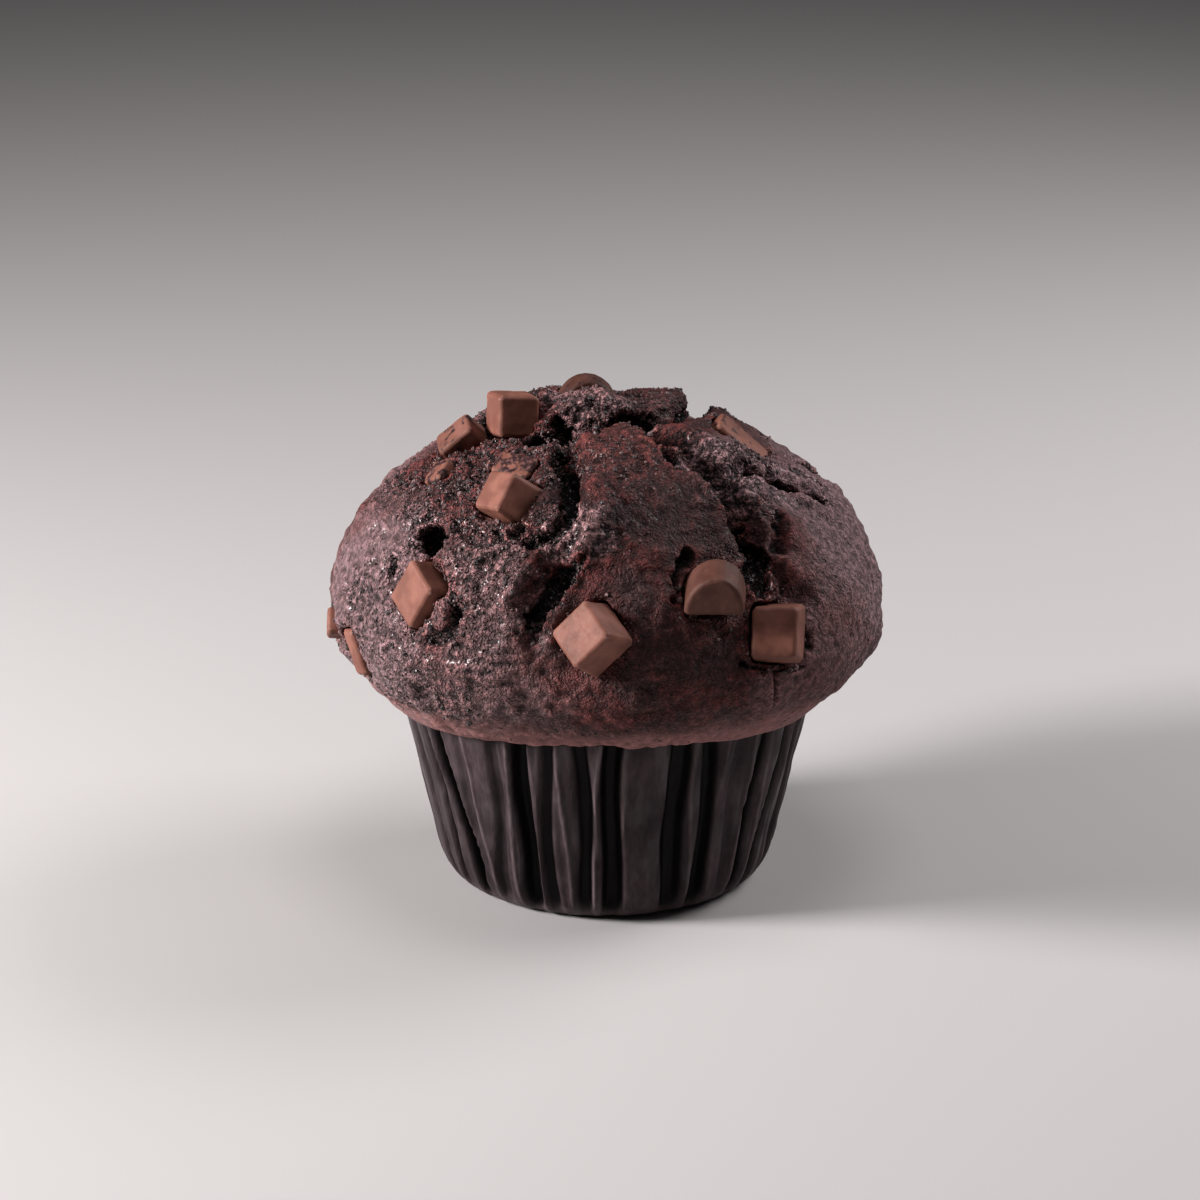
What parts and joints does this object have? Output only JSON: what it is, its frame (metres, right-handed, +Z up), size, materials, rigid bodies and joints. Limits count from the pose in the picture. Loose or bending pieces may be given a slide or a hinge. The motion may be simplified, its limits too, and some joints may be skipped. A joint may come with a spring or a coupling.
{
  "type": "muffin",
  "caption": "Dark chocolate muffin with a cracked domed crown, chocolate chunks pressed into its crust, and a pleated paper baking case.",
  "frame": {"origin": "centre of the paper case's flat base, on the surface that the muffin stands on", "axes": "+Z up through the crown, -Y towards the side that the picture shows, +X to that view's right"},
  "size_m": [0.0892, 0.0961, 0.0813],
  "materials": {
    "crust": "dark chocolate crust, part dull and pored, part with a fine glossy speckle",
    "chocolate": "milk chocolate with a soft satin gloss",
    "paper": "dark brown greaseproof paper with a faint sheen"
  },
  "bodies": {
    "root": {"cake": "crust", "paper_case": "paper", "chunk_01": "chocolate", "chunk_02": "chocolate", "chunk_03": "chocolate", "chunk_04": "chocolate", "chunk_05": "chocolate", "chunk_06": "chocolate", "chunk_07": "chocolate", "chunk_08": "chocolate", "chunk_09": "chocolate", "chunk_10": "chocolate", "chunk_11": "chocolate", "chunk_12": "chocolate", "chunk_13": "chocolate", "chunk_14": "chocolate", "chunk_15": "chocolate", "chunk_16": "chocolate", "chunk_17": "chocolate", "chunk_18": "chocolate", "chunk_19": "chocolate", "chunk_20": "chocolate"}
  },
  "joints": []
}
